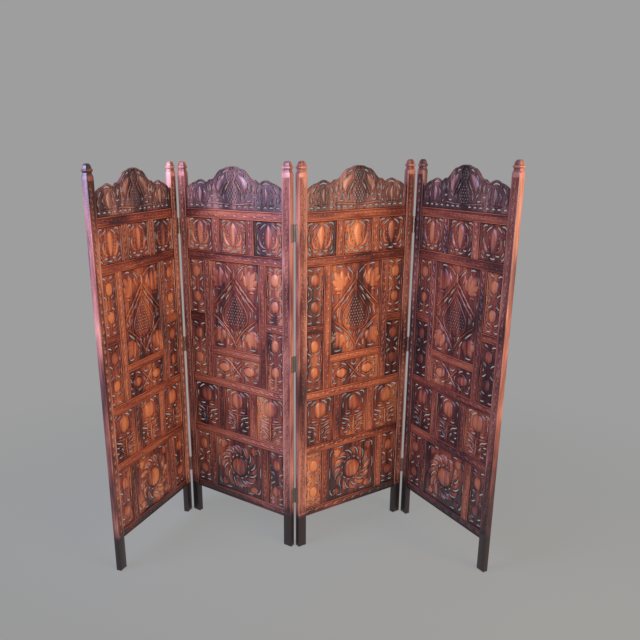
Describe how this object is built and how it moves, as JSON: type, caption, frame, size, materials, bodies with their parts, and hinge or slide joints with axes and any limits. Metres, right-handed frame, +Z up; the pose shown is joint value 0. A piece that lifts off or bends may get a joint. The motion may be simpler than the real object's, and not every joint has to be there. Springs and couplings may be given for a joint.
{
  "type": "folding jali screen",
  "caption": "Folding room screen: hinged frame-and-panel leaves of carved hardwood with pierced jali boards, a fretted arched crest on each leaf and posts that end in knob finials.",
  "frame": {"origin": "centre of the box round the standing screen, on the floor under the feet", "axes": "+Z up, +X to the viewer's right along the zigzag, +Y away from the viewer through the zigzag"},
  "size_m": [1.4452, 0.5388, 1.524],
  "materials": {
    "post_wood": "carved, stained and varnished, semi-gloss",
    "frame_wood": "carved, stained and varnished, semi-gloss",
    "jali_wood": "carved and pierced, stained and varnished, semi-gloss",
    "hinge_steel": "dulled plain steel"
  },
  "bodies": {
    "leaf_1": {"leaf_1_left_post": "post_wood", "leaf_1_right_post": "post_wood", "leaf_1_crest": "jali_wood", "leaf_1_rails": "frame_wood", "leaf_1_muntins": "frame_wood", "leaf_1_small_rails": "frame_wood", "leaf_1_upper_jalis": "jali_wood", "leaf_1_side_jalis": "jali_wood", "leaf_1_grape_panel": "jali_wood", "leaf_1_frieze_jali": "jali_wood", "leaf_1_lower_jalis": "jali_wood", "leaf_1_base_jalis": "jali_wood", "leaf_1_hinges": "hinge_steel"},
    "leaf_2": {"leaf_2_left_post": "post_wood", "leaf_2_right_post": "post_wood", "leaf_2_crest": "jali_wood", "leaf_2_rails": "frame_wood", "leaf_2_muntins": "frame_wood", "leaf_2_small_rails": "frame_wood", "leaf_2_upper_jalis": "jali_wood", "leaf_2_side_jalis": "jali_wood", "leaf_2_grape_panel": "jali_wood", "leaf_2_frieze_jali": "jali_wood", "leaf_2_lower_jalis": "jali_wood", "leaf_2_base_jalis": "jali_wood", "leaf_2_hinges": "hinge_steel"},
    "leaf_3": {"leaf_3_left_post": "post_wood", "leaf_3_right_post": "post_wood", "leaf_3_crest": "jali_wood", "leaf_3_rails": "frame_wood", "leaf_3_muntins": "frame_wood", "leaf_3_small_rails": "frame_wood", "leaf_3_upper_jalis": "jali_wood", "leaf_3_side_jalis": "jali_wood", "leaf_3_grape_panel": "jali_wood", "leaf_3_frieze_jali": "jali_wood", "leaf_3_lower_jalis": "jali_wood", "leaf_3_base_jalis": "jali_wood", "leaf_3_hinges": "hinge_steel"},
    "leaf_4": {"leaf_4_left_post": "post_wood", "leaf_4_right_post": "post_wood", "leaf_4_crest": "jali_wood", "leaf_4_rails": "frame_wood", "leaf_4_muntins": "frame_wood", "leaf_4_small_rails": "frame_wood", "leaf_4_upper_jalis": "jali_wood", "leaf_4_side_jalis": "jali_wood", "leaf_4_grape_panel": "jali_wood", "leaf_4_frieze_jali": "jali_wood", "leaf_4_lower_jalis": "jali_wood", "leaf_4_base_jalis": "jali_wood", "leaf_4_hinges": "hinge_steel"}
  },
  "joints": [
    {"name": "fold_12", "type": "hinge", "parent": "leaf_2", "child": "leaf_1", "pos_m": [-0.48884, 0.24954, 0.783], "axis": [0, 0, 1], "range_deg": [-105, 75]},
    {"name": "fold_23", "type": "hinge", "parent": "leaf_2", "child": "leaf_3", "pos_m": [-0.02287, -0.06528, 0.783], "axis": [0, 0, 1], "range_deg": [-72, 108]},
    {"name": "fold_34", "type": "hinge", "parent": "leaf_3", "child": "leaf_4", "pos_m": [0.4538, 0.23309, 0.783], "axis": [0, 0, 1], "range_deg": [-81, 99]}
  ]
}
